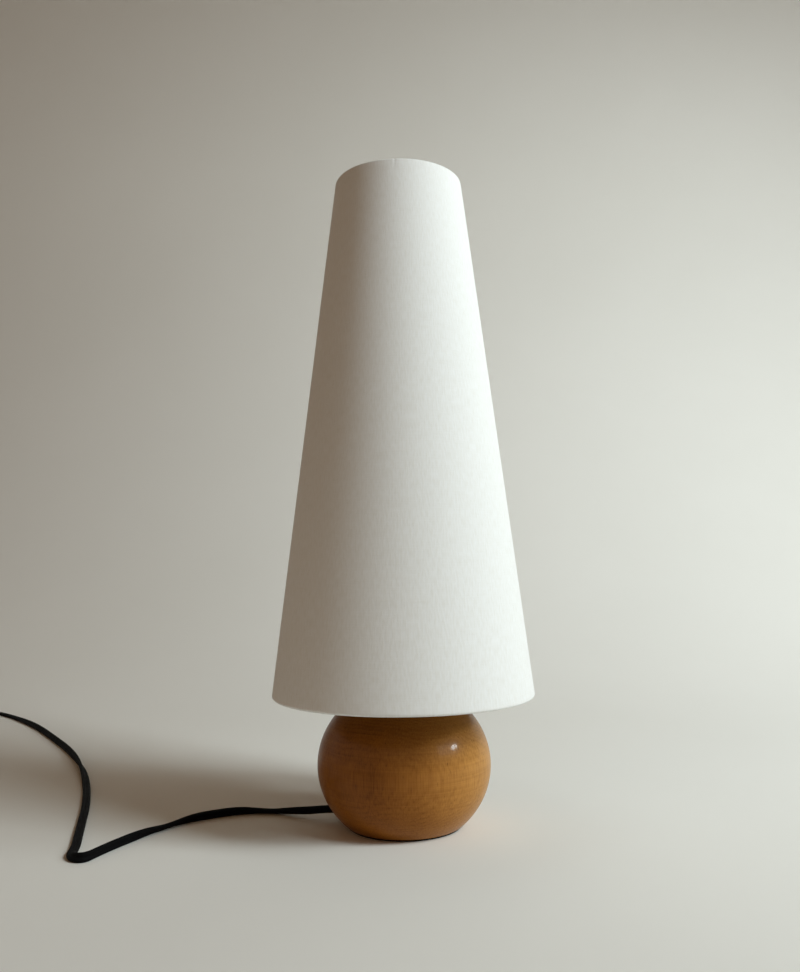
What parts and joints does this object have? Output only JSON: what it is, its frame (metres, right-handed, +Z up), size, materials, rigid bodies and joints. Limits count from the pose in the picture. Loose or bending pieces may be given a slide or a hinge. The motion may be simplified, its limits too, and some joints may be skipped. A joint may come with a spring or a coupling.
{
  "type": "table lamp",
  "caption": "Table lamp: a turned wooden ball carries a screw socket and a harp under a tall tapered fabric shade, with a flat black cord and plug.",
  "frame": {"origin": "centre of the underside of the felt pad, on the surface that the lamp stands on", "axes": "+Z up along the lamp's axis, -Y towards the switch knob and the viewer, +X to the viewer's right"},
  "size_m": [0.7472, 0.6329, 0.509],
  "materials": {
    "wood": "satin lacquer",
    "felt": "matte",
    "zinc_steel": "satin",
    "nickel_steel": "polished",
    "brass": "satin",
    "shade_fabric": "matte",
    "shade_liner": "matte",
    "white_wire": "gloss",
    "insulating_card": "matte",
    "black_phenolic": "satin",
    "opal_glass": "satin",
    "bulb_metal": "satin",
    "black_glass": "gloss",
    "cord_vinyl": "satin"
  },
  "bodies": {
    "base": {"wood_base": "wood", "felt_pad": "felt", "lamp_pipe": "zinc_steel", "base_washer": "zinc_steel", "lock_washer": "zinc_steel", "base_nut": "zinc_steel", "check_ring": "brass", "neck": "brass", "harp_saddle": "nickel_steel", "socket_cap": "brass", "cap_set_screw": "zinc_steel", "socket_shell": "brass", "socket_liner": "insulating_card", "socket_body": "black_phenolic", "terminal_screws": "brass", "screw_shell": "brass", "centre_contact": "brass", "cord_bushing": "black_phenolic", "cord_inner": "cord_vinyl", "socket_leads": "cord_vinyl", "cord_run": "cord_vinyl", "cord_coil": "cord_vinyl", "coil_tie": "black_phenolic", "plug_body": "cord_vinyl", "plug_blades": "brass"},
    "harp": {"harp_hoop": "nickel_steel"},
    "sleeve_left": {"harp_sleeve_left": "nickel_steel"},
    "sleeve_right": {"harp_sleeve_right": "nickel_steel"},
    "swivel": {"harp_stud": "nickel_steel"},
    "shade": {"shade_cover": "shade_fabric", "shade_liner": "shade_liner", "shade_bottom_ring": "white_wire", "shade_spider": "white_wire"},
    "finial": {"finial": "brass"},
    "switch": {"switch_shaft": "brass", "switch_knob": "black_phenolic"},
    "bulb": {"bulb_globe": "opal_glass", "bulb_cap": "bulb_metal", "bulb_insulator": "black_glass", "bulb_tip": "bulb_metal"}
  },
  "joints": [
    {"name": "harp_lift", "type": "slide", "parent": "base", "child": "harp", "axis": [0, 0, 1], "range_m": [0, 0.16]},
    {"name": "sleeve_left_slide", "type": "slide", "parent": "harp", "child": "sleeve_left", "axis": [0, 0, 1], "range_m": [0, 0.016]},
    {"name": "sleeve_right_slide", "type": "slide", "parent": "harp", "child": "sleeve_right", "axis": [0, 0, 1], "range_m": [0, 0.016]},
    {"name": "shade_swivel", "type": "hinge", "parent": "harp", "child": "swivel", "pos_m": [0, 0, 0.4845], "axis": [0, 0, 1], "continuous": true},
    {"name": "shade_lift", "type": "slide", "parent": "swivel", "child": "shade", "axis": [0, 0, 1], "range_m": [0, 0.42]},
    {"name": "finial_turn", "type": "hinge", "parent": "shade", "child": "finial", "pos_m": [0, 0, 0.4882], "axis": [0, 0, 1], "range_deg": [0, 3600]},
    {"name": "switch_turn", "type": "hinge", "parent": "base", "child": "switch", "pos_m": [0, 0, 0.15754], "axis": [0, -1, 0], "continuous": true},
    {"name": "bulb_turn", "type": "hinge", "parent": "base", "child": "bulb", "pos_m": [0, 0, 0.16984], "axis": [0, 0, 1], "range_deg": [0, 1800]}
  ]
}
